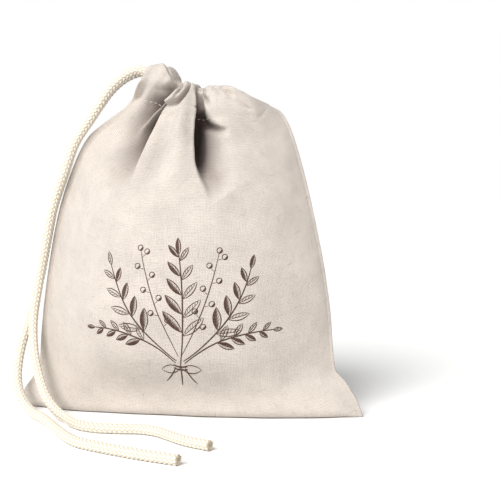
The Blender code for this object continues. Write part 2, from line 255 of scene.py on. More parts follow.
def join_copies(name, first, copies):
    """Join the copies of one small shape in one piece, and take away the shape they were copied from."""
    bpy.data.objects.remove(first)
    bpy.ops.object.select_all(action="DESELECT")
    for copy in copies:
        copy.select_set(True)
    bpy.context.view_layer.objects.active = copies[0]
    bpy.ops.object.join()
    bpy.ops.object.transform_apply(location=True, rotation=True, scale=True)
    bpy.ops.object.shade_smooth()
    piece = bpy.context.object
    piece.name = piece.data.name = name
    bpy.ops.object.select_all(action="DESELECT")
    print(name, "copies:", len(copies))
    return piece


def frayed_end(name, route, seed):
    """A tuft of copies of one fibre on the cut end of a cord, joined in one piece."""
    line = smooth_route(route, 0.55)
    ahead = Vector(line[-1] - line[-4]).normalized()
    middle = Vector(line[-1])
    bpy.ops.mesh.primitive_cone_add(vertices=5, radius1=0.20 * MM, radius2=0.06 * MM, depth=FIBRE_LENGTH * MM,
                                    location=(0.0, 0.0, FIBRE_LENGTH / 2.0 * MM))
    first = bpy.context.object
    bpy.ops.object.mode_set(mode="EDIT")
    for k in (1, 2, 3):
        bpy.ops.mesh.select_all(action="SELECT")
        bpy.ops.mesh.bisect(plane_co=(0.0, 0.0, FIBRE_LENGTH * k / 4.0 * MM), plane_no=(0.0, 0.0, 1.0))
    bpy.ops.object.mode_set(mode="OBJECT")
    bpy.ops.object.transform_apply(location=True, rotation=False, scale=False)
    chance = np.random.default_rng(seed)
    copies = []
    for k in range(FIBRES):
        copy = bpy.data.objects.new("fibre", first.data.copy())
        curl = chance.uniform(-0.9, 0.9)
        for vertex in copy.data.vertices:
            vertex.co.x += curl * (vertex.co.z / (FIBRE_LENGTH * MM)) ** 2 * MM
        aside = Vector(chance.normal(size=3))
        aside = (aside - ahead * aside.dot(ahead)).normalized()
        out = math.sqrt(chance.uniform(0.0, 1.0))
        aim = (ahead + aside * (0.12 + 0.55 * out)).normalized()
        place = middle + aside * 3.1 * out - ahead * 1.6
        shrink = Matrix.Diagonal((1.0, 1.0, chance.uniform(0.55, 1.0), 1.0))
        spun = Matrix.Rotation(chance.uniform(0.0, 2.0 * math.pi), 4, "Z")
        aimed = aim.to_track_quat("Z", "Y").to_matrix().to_4x4()
        copy.matrix_world = Matrix.Translation(place * MM) @ aimed @ spun @ shrink
        bpy.context.scene.collection.objects.link(copy)
        copies.append(copy)
    tuft = join_copies(name, first, copies)
    for vertex in tuft.data.vertices:
        vertex.co.z = max(vertex.co.z, 0.1 * MM)
    return tuft


front_fray = frayed_end("frayed_front_end", FRONT_TAIL_ROUTE, 5)
back_fray = frayed_end("frayed_back_end", BACK_TAIL_ROUTE, 6)

# %% [markdown]
# The stretch inside the headings is held by the cloth, so it is an ordinary piece.

# %% Tell the frame about the cords
for cord, fray, node, route in (
    (front_tail, front_fray, "cord_front_tail", FRONT_TAIL_ROUTE),
    (back_tail, back_fray, "cord_back_tail", BACK_TAIL_ROUTE),
):
    line = smooth_route(route, 2.0)
    for piece in (cord, fray):
        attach(piece, "root")
    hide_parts(node)
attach(heading_cord, "root")
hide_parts("cord_in_heading")

# %% [markdown]
# Shape of the filled bag
# Both panels start from one description of the flat cloth: for each height on it, where the left and right
# seams are and how far the bag bulges to the front and the back. The width of the cloth is then drawn
# together towards the top, and folds stand out of it or sink in. Making the cloth from such a description,
# and not by pushing points about, keeps the two panels meeting at their seams and makes every fold easy to
# move.

# %% Sizes and sections of the bag
CLOTH = 1.0                      # thickness of the seam allowance and the cloth
SEAM_GAP = 0.12                  # half the gap between the two panels at their seams
SEAM_FLAT, SEAM_FLAT_RIGHT = 4.0, 1.6   # width of the pressed seam edge that stands out at each side
FLAT_HEIGHT = 318.0              # bottom seam to top fold, on the flat cloth
FLAT_WIDTH = 296.0
TURNED_IN = 26.0                 # cloth turned in at the top for the heading
BASE_DEPTH = 24.0                # bottom seam to the front edge of the base
BASE_ROUND = 8.0                 # radius where the base turns up into the wall
MIDDLE_TOP = 268.0               # height of the top fold at the middle of a panel
GATHER_REACH = 85.0              # how far below the top the gathers spread back to the full width
CHANNEL_DEPTH = 17.0             # how far below the top the heading stands clear of the cord
VALLEY_Y = 16.2                  # how far a heading's outer leaf lies from the middle plane, between its pleats
STITCH_Y = 6.6                   # the same at the heading's stitch line
LINING_Y = 4.8                   # how far the heading's inner leaf lies from the middle plane
LINING_RIGHT = 34.0              # where the inner leaf ends at the right
LINING_NARROWS = 10.0            # where the inner leaf starts to be narrower than the outer one
FOLD_RISE = 3.0                  # how much the rounded top fold adds to the height
OPEN_SEAM = 30.0                 # length of the left seam left open at the heading, for the cord

Section = namedtuple("Section", "flat left_x left_z right_x right_z front back square pinch")
SECTIONS = (
    Section(0, -150, 0, 144, 0, 24, 24, 3.4, 0.90),
    Section(14, -146, 13, 139, 13, 25, 25, 3.2, 0.90),
    Section(30, -136, 28, 130, 28, 30, 29, 2.8, 0.95),
    Section(44, -131, 41, 121, 39, 36, 35, 2.5, 1.00),
    Section(60, -130, 56, 119, 54, 42, 40, 2.3, 0.95),
    Section(90, -127, 86, 117, 82, 50, 48, 2.1, 0.85),
    Section(130, -121, 126, 112, 119, 56, 54, 2.0, 0.80),
    Section(170, -113, 165, 105, 155, 56, 55, 2.0, 0.80),
    Section(210, -100, 203, 97, 190, 51, 50, 2.1, 0.80),
    Section(240, -86, 229, 90, 216, 44, 44, 2.2, 0.80),
    Section(262, -69, 243, 84, 234, 37, 37, 2.3, 0.80),
    Section(280, -56, 254, 79, 245, 30, 31, 2.4, 0.75),
    Section(298, -43.5, 270, 74, 252, 23, 24, 2.8, 0.70),
    Section(318, -33.5, 287, 66, 257, 17, 17, 4.0, 0.60),
)
Gather = namedtuple("Gather", "across x")
GATHER = (
    Gather(-1.0, -37.0), Gather(-0.84, -21.0), Gather(-0.62, -13.5), Gather(-0.36, -6.5), Gather(0.0, 1.0),
    Gather(0.25, 8.2), Gather(0.42, 14.0), Gather(0.60, 24.0), Gather(0.80, 43.0), Gather(1.0, 66.0),
)
Edge = namedtuple("Edge", "across z")
TOP_EDGE = (
    Edge(-1.0, 283.0), Edge(-0.94, 286.5), Edge(-0.84, 287.5), Edge(-0.66, 280.0), Edge(-0.52, 274.0),
    Edge(-0.30, 271.5),
    Edge(0.0, 273.0), Edge(0.25, 269.5), Edge(0.42, 267.0), Edge(0.60, 269.5), Edge(0.76, 269.0),
    Edge(0.86, 264.0), Edge(1.0, 257.0),
)
print("flat panel:", FLAT_WIDTH, "by", FLAT_HEIGHT + TURNED_IN, "mm")

# %% [markdown]
# Broad forms of the gathered cloth
# Where the cord draws the heading together, the cloth has to go somewhere: it stands out in broad pleats
# and sinks in between them. The broad pleats come first. Each is one line of a table: its place across the
# panel at the top and at its lower end, its half width there, its height at the top and a third of the way
# down, and the height on the flat cloth where it ends.

# %% Broad pleats of both panels
Fold = namedtuple("Fold", "name top low wide_top wide_low high_top high_mid ends")
FRONT_FOLDS = (
    Fold("left shoulder", -0.66, -0.62, 0.18, 0.20, 1.5, 4.0, 226),
    Fold("wide pleat", 0.02, -0.08, 0.22, 0.24, 1.0, 7.0, 190),
    Fold("right shoulder", 0.62, 0.56, 0.20, 0.28, 1.5, 4.5, 216),
)
BACK_FOLDS = (
    Fold("left shoulder", -0.62, -0.60, 0.15, 0.18, 1.5, 5.0, 216),
    Fold("wide pleat", -0.08, -0.04, 0.20, 0.24, 1.0, 6.0, 196),
    Fold("right shoulder", 0.60, 0.58, 0.18, 0.22, 1.5, 5.0, 216),
)
HEADING_ROLL = 7.0               # how far the gathered heading stands out over the cord


def smoothstep(value):
    """0 below 0, 1 above 1 and an even rise between."""
    t = np.clip(value, 0.0, 1.0)
    return t * t * (3.0 - 2.0 * t)


def fold_heights(folds, across, flat):
    """How far the broad pleats stand out of the panel's plain form."""
    out = np.zeros_like(across)
    for fold in folds:
        down = np.clip((FLAT_HEIGHT - flat) / (FLAT_HEIGHT - fold.ends), 0.0, 1.0)
        middle = fold.top + (fold.low - fold.top) * down
        wide = fold.wide_top + (fold.wide_low - fold.wide_top) * down
        high = fold.high_top + (fold.high_mid - fold.high_top) * smoothstep(down / 0.35)
        high = high * (1.0 - smoothstep((down - 0.3) / 0.7))
        out += high * 0.5 * (1.0 + np.cos(math.pi * np.clip((across - middle) / wide, -1.0, 1.0)))
    return out


print("broad pleats:", len(FRONT_FOLDS), "in front,", len(BACK_FOLDS), "at the back")

# %% Read the tables as smooth curves
def along(rows, where, column, at):
    """A column of a short table as a smooth curve without overshoot, read at some values of another column."""
    x = np.array([getattr(row, where) for row in rows], float)
    y = np.array([getattr(row, column) for row in rows], float)
    step = np.diff(x)
    rise = np.diff(y) / step
    slope = np.zeros(len(x))
    slope[0], slope[-1] = rise[0], rise[-1]
    turning = rise[:-1] * rise[1:] <= 0.0
    weighted = 3.0 * (step[:-1] + step[1:]) / (
        (2.0 * step[1:] + step[:-1]) / np.where(turning, 1.0, rise[:-1])
        + (step[1:] + 2.0 * step[:-1]) / np.where(turning, 1.0, rise[1:])
    )
    slope[1:-1] = np.where(turning, 0.0, weighted)
    at = np.clip(np.asarray(at, float), x[0], x[-1])
    i = np.clip(np.searchsorted(x, at, side="right") - 1, 0, len(x) - 2)
    t = (at - x[i]) / step[i]
    return between_ends(t, y[i], y[i + 1], step[i] * slope[i], step[i] * slope[i + 1])


def section_at(flat, column):
    return float(along(SECTIONS, "flat", column, flat))


def body_across(across, flat, depth):
    """Position across the width, -1 to 1, that gives the cloth an even spacing along its curved section."""
    n = np.linspace(-1.0, 1.0, 241)
    half = (section_at(flat, "right_x") - section_at(flat, "left_x")) / 2.0
    y = depth * (1.0 - np.abs(n) ** section_at(flat, "square")) ** section_at(flat, "pinch")
    run = np.concatenate([[0.0], np.cumsum(np.hypot(np.diff(n * half), np.diff(y)))])
    return np.interp((across + 1.0) / 2.0, run / run[-1], n)


def base_and_wall(n, flat):
    """Follow the flat cloth over the base and up the wall: base depth, distance out, climb and upright share."""
    base = BASE_DEPTH * (1.0 - np.abs(n) ** SECTIONS[0].square) ** SECTIONS[0].pinch
    base = base * (1.0 + 0.035 * np.sin(7.0 * n + 0.6) + 0.02 * np.sin(16.0 * n))
    bend = np.minimum(BASE_ROUND, base)
    start = base - bend
    turn = np.clip((flat - start) / np.maximum(bend, 1e-6), 0.0, math.pi / 2.0)
    out = np.minimum(flat, start) + bend * np.sin(turn)
    climb = bend * (1.0 - np.cos(turn)) + np.maximum(flat - start - bend * math.pi / 2.0, 0.0)
    upright = np.clip(1.0 - (base / BASE_DEPTH) * (1.0 - turn / (math.pi / 2.0)), 0.0, 1.0)
    return base, out, climb, upright


print("the bag is", round(section_at(130, "front") + section_at(130, "back")), "mm deep at its fullest")

# %% [markdown]
# Troughs and creases
# Between the pleats the cloth sinks into narrow troughs with one steep side and one soft side. They are
# what the eye reads as folds, so each is drawn as a line on the front view, from its upper end down: place,
# depth, and its width to the left and to the right of the line. Beside its steep side a fold of real cloth
# hangs over, so each trough also has a lean: how far its bottom slips under that side for each millimetre
# of depth.

# %% Troughs of both panels
Trough = namedtuple("Trough", "name lean rows")   # rows of x, z, depth, width to the left, width to the right
FRONT_TROUGHS = (
    Trough("under the left shoulder", 0.25, (
        (0.5, 275, 8, 1.8, 1.5), (-2.9, 270, 15, 2.6, 1.6), (-6.4, 268, 18, 4, 1.5),
        (-12.2, 262.2, 20, 6.5, 1.6),
        (-18, 257, 20, 9, 1.8), (-26, 251.6, 17.5, 11, 2.4), (-34.5, 245.5, 14, 13, 3.5),
        (-44, 238.5, 9, 15, 5),
        (-55, 229, 0, 16, 10),
    )),
    Trough("groove on the narrow ridge", 0, ((-0.8, 268, 4, 1, 1), (-4, 263.8, 4, 1, 1), (-7.8, 258.9, 0, 1,
    1))),
    Trough("pocket", 0.3, (
        (5.5, 271, 4, 1.2, 1.2), (3, 264.2, 8, 2, 1.2), (0.6, 259.2, 10, 3, 1.2), (-2.8, 256.2, 9, 3, 1.3),
        (-7.8, 253.6, 5.5, 3, 1.5), (-13, 253, 1, 2, 1.5),
    )),
    Trough("top of the narrow ridge", 0, (
        (-2, 266, -1, 1.5, 1.5), (-9, 259.6, -2, 1.6, 1.6), (-15.6, 254.2, -3, 1.8, 1.8),
        (-23.8, 248.4, -3.5, 2.2, 2.2),
        (-32.6, 242.4, -3, 3, 3), (-42.5, 235.4, -1.5, 4, 4), (-53, 227, 0, 5, 5),
    )),
    Trough("left of the wide pleat", 0.28, (
        (-13.3, 256, 0, 2, 1.5), (-15.8, 253, 10, 3, 1.5), (-20, 246.5, 19, 5.5, 1.8),
        (-24.4, 238.3, 23, 8.5, 2),
        (-29.8, 229.1, 21.5, 12, 2.4), (-36, 218.7, 17, 15.5, 3.4), (-43.5, 206.7, 10.5, 18, 5.5),
        (-51.5, 193.5, 5, 17, 9),
        (-61, 180, 0, 15, 12),
    )),
    Trough("hollow on the wide pleat", 0, (
        (-13, 240, 0, 6, 5), (-15, 229, 2.5, 7, 6), (-17.5, 217, 4, 8, 7), (-22, 203.8, 4, 9, 8),
        (-29, 189.7, 2.5, 10, 9),
        (-37, 174, 0, 11, 10),
    )),
    Trough("deep valley", -0.34, (
        (10.8, 271, 5, 1.2, 1.2), (12.8, 261.2, 8, 1.3, 1.6), (13.8, 253.9, 11, 1.4, 2.2),
        (13.9, 246.6, 18, 1.6, 4),
        (13.3, 237.8, 24, 1.8, 9), (13.5, 228.3, 28, 2, 12), (15.2, 217.1, 26, 2.4, 13),
        (18, 206.9, 20, 3, 13),
        (22.2, 198.3, 13.5, 4, 13), (27.8, 190.5, 8, 5.5, 13), (35, 180, 0, 8, 14),
    )),
    Trough("hook", -0.16, (
        (13.6, 269, 4, 1, 1), (15, 261.1, 6, 1, 1), (16.8, 253, 9.5, 1.4, 1.2), (18.6, 245.8, 15, 2.2, 1.6),
        (21.4, 239.8, 20, 3.4, 2), (26, 236.1, 14, 3.6, 1.8), (32.2, 233.3, 6, 4, 2), (38.6, 231, 0, 5, 3),
    )),
    Trough("short crease", 0, (
        (15.6, 269, 5, 1, 1), (17.4, 261.1, 8.5, 1.3, 1.2), (19.9, 256.2, 6, 1.6, 2), (22.6, 250.6, 0, 2, 3),
    )),
    Trough("first line on the hump", 0, ((22, 270, 1.5, 1.4, 1.4), (28.6, 264.2, 2, 1.6, 1.6),
    (34.5, 259.3, 0, 1.6, 1.6))),
    Trough("second line on the hump", 0, ((28, 270, 2, 1.6, 1.6), (35.9, 263.3, 2.5, 1.8, 1.8),
    (42.6, 257.6, 0, 2, 2))),
    Trough("dip in the ear", 0, ((-14, 276, 1.5, 3, 3), (-21.4, 268, 2.5, 4, 4), (-28.4, 260, 2, 5, 5),
    (-38, 250, 0, 6, 6))),
    Trough("beside the left seam", 0, (
        (-121.6, 104, 0, 7, 6), (-122, 84, 1.6, 7, 6), (-122.6, 62, 2.6, 7, 6), (-121, 43, 3.2, 6, 6),
        (-116, 28, 3, 6, 6), (-108, 17, 1.6, 7, 7), (-98, 10, 0, 8, 8),
    )),
    Trough("right base corner", 0, ((124, 50, 0, 5, 6), (119, 38, 2, 5, 6), (111, 27, 2.4, 6, 7),
    (99, 17, 0, 8, 8))),
    Trough("first pucker", 0, ((44, 257, 0.5, 1.2, 1.2), (51, 251.1, 2, 1.4, 1.4),
    (57.5, 248.6, 0, 1.5, 1.5))),
    Trough("second pucker", 0, ((68, 256, 0.5, 1.2, 1.2), (63.9, 247, 1.5, 1.4, 1.4),
    (59, 241, 0, 1.5, 1.5))),
)
BACK_TROUGHS = (
    Trough("first valley", -0.15, ((-10, 276, 4.5, 1.5, 1.5), (-17, 258, 12, 2, 4), (-27, 236, 13.5, 3, 8),
    (-38, 212, 7.5, 6, 11),
                            (-48, 190, 0, 10, 13))),
    Trough("second valley", 0.15, ((-2, 274, 4.5, 1.5, 1.5), (-5, 256, 10.5, 3, 2), (-9, 236, 12, 7, 2.5),
    (-13, 214, 7.5, 10, 5),
                             (-17, 192, 0, 12, 8))),
    Trough("third valley", -0.25, ((7, 270, 4.5, 1.3, 1.3), (9, 254, 12, 1.6, 3), (11, 232, 21, 2, 8),
    (15, 210, 13.5, 4, 11),
                            (21, 186, 0, 8, 13))),
    Trough("fourth valley", 0.12, ((17, 268, 4.5, 1.5, 1.5), (22, 254, 10.5, 3, 2), (30, 238, 12, 7, 2.5),
    (40, 220, 7.5, 9, 5),
                             (52, 200, 0, 12, 9))),
    Trough("fifth valley", 0, ((32, 268, 2, 1.5, 1.5), (40, 256, 4.5, 2, 3), (52, 242, 3, 4, 6),
    (62, 228, 0, 6, 8))),
    Trough("dip in the ear", 0, ((-20, 280, 1.5, 3, 3), (-26, 266, 3, 4, 4), (-36, 250, 0, 6, 6))),
)


def smooth_through(points, pieces):
    """More rows of numbers on a smooth curve through some rows of numbers."""
    points = np.array(points, float)
    slope = np.gradient(points, axis=0)
    fine = []
    for i in range(len(points) - 1):
        for t in np.linspace(0.0, 1.0, pieces, endpoint=i == len(points) - 2):
            fine.append(between_ends(t, points[i], points[i + 1], slope[i], slope[i + 1]))
    return np.array(fine)


def trough_depth(trough, x, z):
    """How deep a trough lies at some places of the front view."""
    line = smooth_through(trough.rows, 6)
    best = np.full(x.shape, 1e9)
    depth, left, right, side = (np.zeros(x.shape) for _ in range(4))
    for start, end in zip(line[:-1], line[1:]):
        step = end - start
        dx, dz = x - start[0], z - start[1]
        t = np.clip((dx * step[0] + dz * step[1]) / (step[0] ** 2 + step[1] ** 2), 0.0, 1.0)
        away = np.hypot(dx - t * step[0], dz - t * step[1])
        nearer = away < best
        best = np.where(nearer, away, best)
        side = np.where(nearer, dz * step[0] - dx * step[1], side)
        depth = np.where(nearer, start[2] + t * step[2], depth)
        left = np.where(nearer, start[3] + t * step[3], left)
        right = np.where(nearer, start[4] + t * step[4], right)
    wide, other = np.where(side > 0.0, right, left), np.where(side > 0.0, left, right)
    crisp = 2.0 + 2.0 * smoothstep((other / np.maximum(wide, 0.5) - 1.2) / 1.5)
    return depth * np.exp(-((best / np.maximum(wide, 0.5)) ** crisp))


print("troughs:", len(FRONT_TROUGHS), "in front,", len(BACK_TROUGHS), "at the back")

# %% One row of a panel
def mixed_rate(n, seam_rate, middle_rate):
    """Height gained for each millimetre of climbing cloth: the middle's value, passing to the seams' own."""
    return middle_rate + (seam_rate - middle_rate) * np.abs(n) ** 3


def soft_max(a, b, round_off):
    """The larger of two heights, with the corner between them rounded off."""
    return 0.5 * (a + b + np.sqrt((a - b) ** 2 + round_off**2))


def panel_row(side, folds, troughs, across, flat):
    """A row of a panel's outer face: x, y, z and a painted shade for its depth in a fold. Side is -1 for the
    front, 1 for the back.
    """
    down = FLAT_HEIGHT - flat
    left, right = section_at(flat, "left_x"), section_at(flat, "right_x")
    middle, half = (left + right) / 2.0, (right - left) / 2.0
    depth = section_at(flat, "front" if side < 0 else "back")

    spread = body_across(across, flat, depth)
    mouth_left, mouth_right = GATHER[0].x, GATHER[-1].x
    gathered = (2.0 * along(GATHER, "across", "x",
        across) - mouth_left - mouth_right) / (mouth_right - mouth_left)
    drawn = smoothstep(1.0 - down / GATHER_REACH) ** 0.8
    n = np.clip(spread + (gathered - spread) * drawn, -1.0, 1.0)
    within = np.clip(n / (1.0 - np.where(n < 0.0, SEAM_FLAT, SEAM_FLAT_RIGHT) / half), -1.0, 1.0)
    near_seam = smoothstep((1.0 - np.abs(n)) / 0.3)
    near_seam = np.where(n < 0.0, np.maximum(near_seam, smoothstep((OPEN_SEAM + 4.0 - down) / 26.0)),
        near_seam)

    _, _, whole_climb, _ = base_and_wall(within, FLAT_HEIGHT)
    base, out, climb, upright = base_and_wall(within, flat)
    seam_z = np.where(n < 0.0, section_at(flat, "left_z"), section_at(flat, "right_z"))
    top_seam_z = np.where(n < 0.0, SECTIONS[-1].left_z, SECTIONS[-1].right_z)
    z = climb * mixed_rate(n, seam_z / max(flat, 1.0), MIDDLE_TOP / whole_climb)
    plain_top = whole_climb * mixed_rate(n, top_seam_z / FLAT_HEIGHT, MIDDLE_TOP / whole_climb)
    edge = along(TOP_EDGE, "across", "z", across) - FOLD_RISE - plain_top
    z = np.maximum(z + edge * smoothstep(1.0 - down / 60.0), 0.0)
    x = middle + half * n

    shape = (1.0 - np.abs(within) ** section_at(flat, "square")) ** section_at(flat, "pinch")
    y = out + (depth * shape - base) * smoothstep((flat - BASE_DEPTH) / 56.0) * (climb > 0.0)
    rise = fold_heights(folds, across, flat) + HEADING_ROLL * smoothstep((56.0 - down) / 44.0)
    sunk, lean = np.zeros(x.shape), np.zeros(x.shape)
    for trough in troughs:
        low, high = min(row[1] for row in trough.rows) - 25.0, max(row[1] for row in trough.rows) + 25.0
        if z.max() < low or z.min() > high:
            continue
        depths = trough_depth(trough, x, z) * near_seam
        sunk, lean = sunk + depths, lean + trough.lean * depths
    unsunk = y + rise * near_seam
    y = soft_max(unsunk - sunk, 0.28 * y, 0.8 * near_seam * smoothstep((flat - 130.0) / 60.0))
    heading_y = VALLEY_Y + (STITCH_Y - VALLEY_Y) * smoothstep((down - CHANNEL_DEPTH) / 13.0)
    heading_y = heading_y * (1.0 - smoothstep((down - OPEN_SEAM) / 14.0)) * near_seam
    y = soft_max(y, heading_y, 1.2 * near_seam * smoothstep((OPEN_SEAM + 14.0 - down) / 10.0))
    held = np.clip((unsunk - y) / np.maximum(sunk, 0.5), 0.0, 1.0)
    x = x + lean * held
    # Painted shade: how far the linen's colour is darkened, more the deeper a trough sinks here.
    shade = np.clip(sunk * (0.85 + 0.15 * held) / 18.5, 0.0, 1.0) ** 1.25
    z = z - np.minimum(0.35 * sunk, 4.0) * smoothstep(1.0 - down / 10.0)
    y = y - 0.4 * np.exp(-(((down - TURNED_IN) / 1.5) ** 2)) * near_seam
    y = np.maximum(y, 0.0) + SEAM_GAP + CLOTH * upright
    return np.stack([x, side * y, z, shade], axis=-1)


FINE = np.linspace(-1.0, 1.0, 1101)
COLUMNS = 197
FLAT_ROWS = np.concatenate([np.linspace(0.0, 40.0, 25), np.linspace(42.3, 190.0, 64),
    np.linspace(191.2, FLAT_HEIGHT, 118)])
print("grid:", COLUMNS, "by", len(FLAT_ROWS))

# %% [markdown]
# Unevenness of the cloth
# A filled linen bag is never quite smooth. Waves of two sizes, less than half a millimetre high, break up
# the even light on it. They move each point along the cloth's own normal and fade out at the seams, so that
# the two panels still meet there.

# %% Soft waves in the cloth
def normals_of(rows, side):
    """Outward directions of a grid of points."""
    normal = np.cross(np.gradient(rows, axis=1), np.gradient(rows, axis=0)) * (1.0 if side < 0 else -1.0)
    return normal / np.maximum(np.linalg.norm(normal, axis=-1), 1e-9)[..., None]


def uneven(across, flat, size, seed):
    """Soft random waves of about one size, in millimetres of flat cloth, between about -1 and 1."""
    chance = np.random.default_rng(seed)
    u, v = across * FLAT_WIDTH / 2.0, flat
    total = np.zeros(np.broadcast(u, v).shape)
    for angle, phase, stretch in zip(
        chance.uniform(0, math.pi, 18), chance.uniform(0, 2 * math.pi, 18), chance.uniform(0.7, 1.5, 18)
    ):
        wave = 2.0 * math.pi / (size * stretch)
        total += np.sin((u * math.cos(angle) + v * math.sin(angle)) * wave + phase)
    return total / 4.2


print("waves of 62 and 24 mm")

# %% Rows over the top fold
FOLD_TURNS = np.linspace(15.0, 180.0, 11)
LINING_ROWS = np.linspace(3.0, 24.0, 8)


def heading_rows(side, across, top):
    """The rest of a panel from its last outer row: over the top fold and down the heading's inner leaf."""
    x, y, z = top[:, 0], np.abs(top[:, 1]), top[:, 2]
    inner_x = along(GATHER, "across", "x", across)
    scale = (LINING_RIGHT - LINING_NARROWS) / (inner_x[-1] - LINING_NARROWS)
    inner_x = np.where(inner_x > LINING_NARROWS, LINING_NARROWS + (inner_x - LINING_NARROWS) * scale, inner_x)
    ripple = 0.5 * np.sin(inner_x * 0.9) - 0.5
    inner_y = SEAM_GAP + (LINING_Y + ripple - SEAM_GAP) * smoothstep((LINING_RIGHT - inner_x) / 9.0)
    rows = []
    for degrees in FOLD_TURNS:
        turn = math.radians(degrees)
        share = (1.0 - math.cos(turn)) / 2.0
        rows.append(np.stack([
            x + (inner_x - x) * share,
            side * (y + (inner_y - y) * share),
            z + FOLD_RISE * math.sin(turn),
        ], axis=-1))
    for depth in LINING_ROWS:
        rows.append(np.stack([inner_x, side * inner_y, z - depth], axis=-1))
    return rows


print("rows over the fold:", len(FOLD_TURNS), "and down inside:", len(LINING_ROWS))

# %% [markdown]
# The two panels
# Each panel is one sheet: up the outside, over the top fold and down inside. Its UV map holds the place on
# the flat cloth in metres, so that the weave bends and bunches with the folds as real threads do. Solidify
# gives the sheet its thickness to the inside, which leaves the outer face where it was measured.

# %% Build a panel
SHEET = 0.9


def even_spacing(points, across):
    """Spread the columns evenly along a row's own length, so that steep folds get their share of them."""
    run = np.concatenate([[0.0], np.cumsum(np.linalg.norm(np.diff(points[:, :3], axis=0), axis=1))])
    at = np.linspace(0.0, run[-1], COLUMNS)
    return np.stack([np.interp(at, run, column) for column in points.T], axis=-1), np.interp(at, run, across)


def outer_face(side, folds, troughs):
    """A panel's outer face with its unevenness, the painted shade of its folds, and the top row's places across.
    """
    rows, mouth = [], None
    for flat in FLAT_ROWS:
        row, mouth = even_spacing(panel_row(side, folds, troughs, FINE, float(flat)), FINE)
        rows.append(row)
    rows, painted_fold_shade = np.array(rows)[..., :3], np.array(rows)[..., 3]
    across, flat = np.linspace(-1.0, 1.0, COLUMNS)[None, :], FLAT_ROWS[:, None]
    inside = smoothstep((1.0 - np.abs(across)) / 0.12) * smoothstep((flat - BASE_DEPTH) / 14.0)
    inside = inside * smoothstep((FLAT_HEIGHT - flat) / 6.0)
    shift = 0.35 * uneven(across, flat, 62.0, 3 - side) + 0.12 * uneven(across, flat, 24.0, 13 - side)
    return rows + normals_of(rows, side) * (shift * inside)[..., None], painted_fold_shade, mouth


def cloth_panel(name, side, rows, painted_fold_shade, mouth):
    """A panel's sheet from its grid of points, with its UV map and its thickness."""
    grid = list(rows) + heading_rows(side, mouth, rows[-1])
    places = list(FLAT_ROWS) + list(FLAT_HEIGHT + FOLD_TURNS / 180.0 * 6.0)
    places += list(FLAT_HEIGHT + 6.0 + LINING_ROWS)
    build = bmesh.new()
    uv = build.loops.layers.uv.new("cloth")
    # The fold attribute carries painted shade, which darkens the linen's colour in the troughs.
    fold = build.verts.layers.float.new("fold")
    lines = [
        [build.verts.new((point + (CENTRE_X, 0.0, 0.0)) * MM) for point in row] for row in grid
    ]
    for line, depths in zip(lines, painted_fold_shade):
        for vertex, depth in zip(line, depths):
            vertex[fold] = depth
    width = np.linspace(-FLAT_WIDTH / 2.0, FLAT_WIDTH / 2.0, COLUMNS) * MM
    for k in range(len(lines) - 1):
        for i in range(COLUMNS - 1):
            corners = [(k, i), (k, i + 1), (k + 1, i + 1), (k + 1, i)]
            if side > 0:
                corners = corners[::-1]
            face = build.faces.new([lines[a][b] for a, b in corners])
            for loop, (a, b) in zip(face.loops, corners):
                loop[uv].uv = (width[b], places[a] * MM)
    panel = finished_mesh(name, build)
    area = sum(face.area for face in panel.data.polygons)
    wall = panel.modifiers.new("thickness", "SOLIDIFY")
    wall.thickness = SHEET * MM
    wall.offset = -1.0
    bpy.context.view_layer.objects.active = panel
    bpy.ops.object.modifier_apply(modifier=wall.name)
    print(name, "one face:", round(area, 4), "m2, faces:", len(panel.data.polygons))
    return panel


front_face = outer_face(-1, FRONT_FOLDS, FRONT_TROUGHS)
back_face = outer_face(1, BACK_FOLDS, BACK_TROUGHS)
front = cloth_panel("linen_front", -1, *front_face)
back = cloth_panel("linen_back", 1, *back_face)

# %% [markdown]
# Heading stitches
# A line of machine stitches holds the turned-in heading, 26 mm below the top fold, and the cord runs above
# it. One stitch is shaped from a small sphere. It is copied along the panel's own row of points at that
# height, half sunk in the cloth, so the line dips with every fold.

# %% Sew the heading lines
STITCH, STITCH_STEP = 2.7, 4.0   # length of a stitch and from one to the next


def stitch_line(name, side, rows):
    """Copies of one stitch along a panel at the height of its heading line, joined in one piece."""
    row = int(np.argmin(np.abs(FLAT_ROWS - (FLAT_HEIGHT - TURNED_IN))))
    points, normals = rows[row] + (CENTRE_X, 0.0, 0.0), normals_of(rows, side)[row]
    run = np.concatenate([[0.0], np.cumsum(np.linalg.norm(np.diff(points, axis=0), axis=1))])
    bpy.ops.mesh.primitive_uv_sphere_add(segments=8, ring_count=6, radius=1.0)
    bpy.ops.transform.resize(value=(STITCH / 2.0 * MM, 0.34 * MM, 0.26 * MM))
    bpy.ops.object.transform_apply(location=False, rotation=False, scale=True)
    first = bpy.context.object
    copies = []
    for at in np.arange(5.0, run[-1] - 5.0, STITCH_STEP):
        place, ahead, out = (
            Vector([float(np.interp(at + step, run, column)) for column in table.T])
            for table, step in ((points, 0.0), (points, 0.6), (normals, 0.0))
        )
        along_row = (ahead - place).normalized()
        out = (out - along_row * out.dot(along_row)).normalized()
        turned = Matrix((along_row, out.cross(along_row), out)).transposed().to_4x4()
        copy = bpy.data.objects.new("stitch", first.data.copy())
        copy.matrix_world = Matrix.Translation((place + out * 0.12) * MM) @ turned
        bpy.context.scene.collection.objects.link(copy)
        copies.append(copy)
    return join_copies(name, first, copies)


front_stitches = stitch_line("heading_stitches_front", -1, front_face[0])
back_stitches = stitch_line("heading_stitches_back", 1, back_face[0])

# %% [markdown]
# The print
# A dark brown screen print fills the lower half of the real front. Here it is a plain leafy bunch, drawn
# for this model. Ink has no thickness to speak of, so each pen stroke is a ribbon of small faces a tenth of
# a millimetre above the cloth, placed through the panel's own grid of points. It bends with every fold, and
# its UV map is the cloth's, so that the weave shows through the ink.

# %% Place a flat drawing on the cloth
PRINT_CENTRE = (8.0, 128.0)      # across from the panel's middle, and up from its bottom seam
INK_LIFT = 0.10


